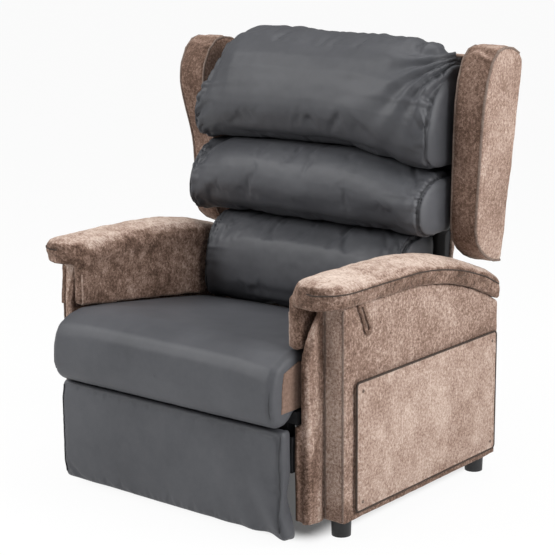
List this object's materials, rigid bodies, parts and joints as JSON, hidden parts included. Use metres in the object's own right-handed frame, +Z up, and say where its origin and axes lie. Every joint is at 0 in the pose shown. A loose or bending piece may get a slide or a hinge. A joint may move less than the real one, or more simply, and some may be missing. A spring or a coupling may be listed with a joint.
{
  "type": "patient recliner chair",
  "caption": "Upholstered patient recliner with padded arms, waterfall back cushions between wings, a reclining back and a legrest that folds out on a bar linkage.",
  "frame": {"origin": "on the floor under the centre of the chair's box", "axes": "+Z up, the sitter looks along -Y, +X is the sitter's left-hand side"},
  "size_m": [1.0186, 0.8638, 1.151],
  "materials": {
    "velour": "matte",
    "grey_coated_fabric": "satin",
    "black_fabric": "matte",
    "black_plastic": "satin",
    "board": "matte",
    "steel": "satin"
  },
  "bodies": {
    "chassis": {"arm_panel_left": "velour", "arm_panel_right": "velour", "arm_inner_panel_left": "velour", "arm_inner_panel_right": "velour", "arm_facing_left": "velour", "arm_facing_right": "velour", "arm_pad_left": "velour", "arm_pad_right": "velour", "access_panel_left": "velour", "access_panel_right": "velour", "access_panel_buttons": "velour", "arm_tie_left": "velour", "arm_tie_right": "velour", "foot_front_left": "black_plastic", "foot_front_right": "black_plastic", "foot_rear_left": "black_plastic", "foot_rear_right": "black_plastic", "foot_studs": "steel", "side_plate_left": "steel", "side_plate_right": "steel", "side_plate_bolts": "steel", "pivot_pins": "steel", "cross_tube_front": "steel", "cross_tube_rear": "steel", "rear_panel": "velour", "seat_side_rails": "board", "seat_cross_rails": "board", "seat_webbing": "black_fabric", "seat_cushion": "grey_coated_fabric", "seat_side_cover_left": "velour", "seat_side_cover_right": "velour", "recline_motor": "black_plastic", "legrest_motor": "black_plastic", "control_box": "black_plastic"},
    "recline_ram": {"recline_rod": "steel"},
    "legrest_ram": {"legrest_rod": "steel"},
    "backrest": {"back_pivot_tube": "steel", "back_lever": "steel", "back_hinge_plates": "steel", "back_upright_left": "steel", "back_upright_right": "steel", "back_rail_top": "steel", "back_core": "black_fabric", "back_rear_cover": "velour", "back_cushion_upper": "grey_coated_fabric", "back_cushion_middle": "grey_coated_fabric", "back_cushion_lower": "grey_coated_fabric", "wing_left": "velour", "wing_right": "velour"},
    "legrest_arms": {"legrest_arm_left": "steel", "legrest_arm_right": "steel", "legrest_torque_tube": "steel"},
    "legrest_cross_arms": {"legrest_cross_arm_left": "steel", "legrest_cross_arm_right": "steel"},
    "legrest_end_links": {"legrest_end_link_left": "steel", "legrest_end_link_right": "steel"},
    "legrest": {"legrest_bracket_left": "steel", "legrest_bracket_right": "steel", "legrest_board": "board", "legrest_pad": "grey_coated_fabric"}
  },
  "joints": [
    {"name": "back_recline", "type": "hinge", "parent": "chassis", "child": "backrest", "pos_m": [0, 0.235, 0.345], "axis": [-1, 0, 0], "range_deg": [0, 40]},
    {"name": "recline_drive", "type": "slide", "parent": "chassis", "child": "recline_ram", "axis": [0, -1, 0], "range_m": [0, 0.0685]},
    {"name": "legrest_raise", "type": "hinge", "parent": "chassis", "child": "legrest_arms", "pos_m": [0, -0.26309, 0.266], "axis": [-1, 0, 0], "range_deg": [0, 75]},
    {"name": "legrest_cross", "type": "hinge", "parent": "legrest_arms", "child": "legrest_cross_arms", "pos_m": [0, -0.27355, 0.16655], "axis": [-1, 0, 0], "range_deg": [-150, 0]},
    {"name": "legrest_tilt", "type": "hinge", "parent": "legrest_cross_arms", "child": "legrest", "pos_m": [0, -0.284, 0.266], "axis": [-1, 0, 0], "range_deg": [0, 150]},
    {"name": "legrest_end", "type": "hinge", "parent": "legrest_arms", "child": "legrest_end_links", "pos_m": [0, -0.284, 0.0671], "axis": [-1, 0, 0], "range_deg": [-150, 0]},
    {"name": "legrest_drive", "type": "slide", "parent": "chassis", "child": "legrest_ram", "axis": [0, -1, 0], "range_m": [0, 0.0975]}
  ],
  "couplings": [
    {"joint": "recline_drive", "follows": "back_recline", "m_per_rad": 0.097982},
    {"joint": "legrest_cross", "follows": "legrest_raise", "ratio": -2},
    {"joint": "legrest_tilt", "follows": "legrest_raise", "ratio": 2},
    {"joint": "legrest_end", "follows": "legrest_raise", "ratio": -2},
    {"joint": "legrest_drive", "follows": "legrest_raise", "m_per_rad": 0.07441}
  ]
}
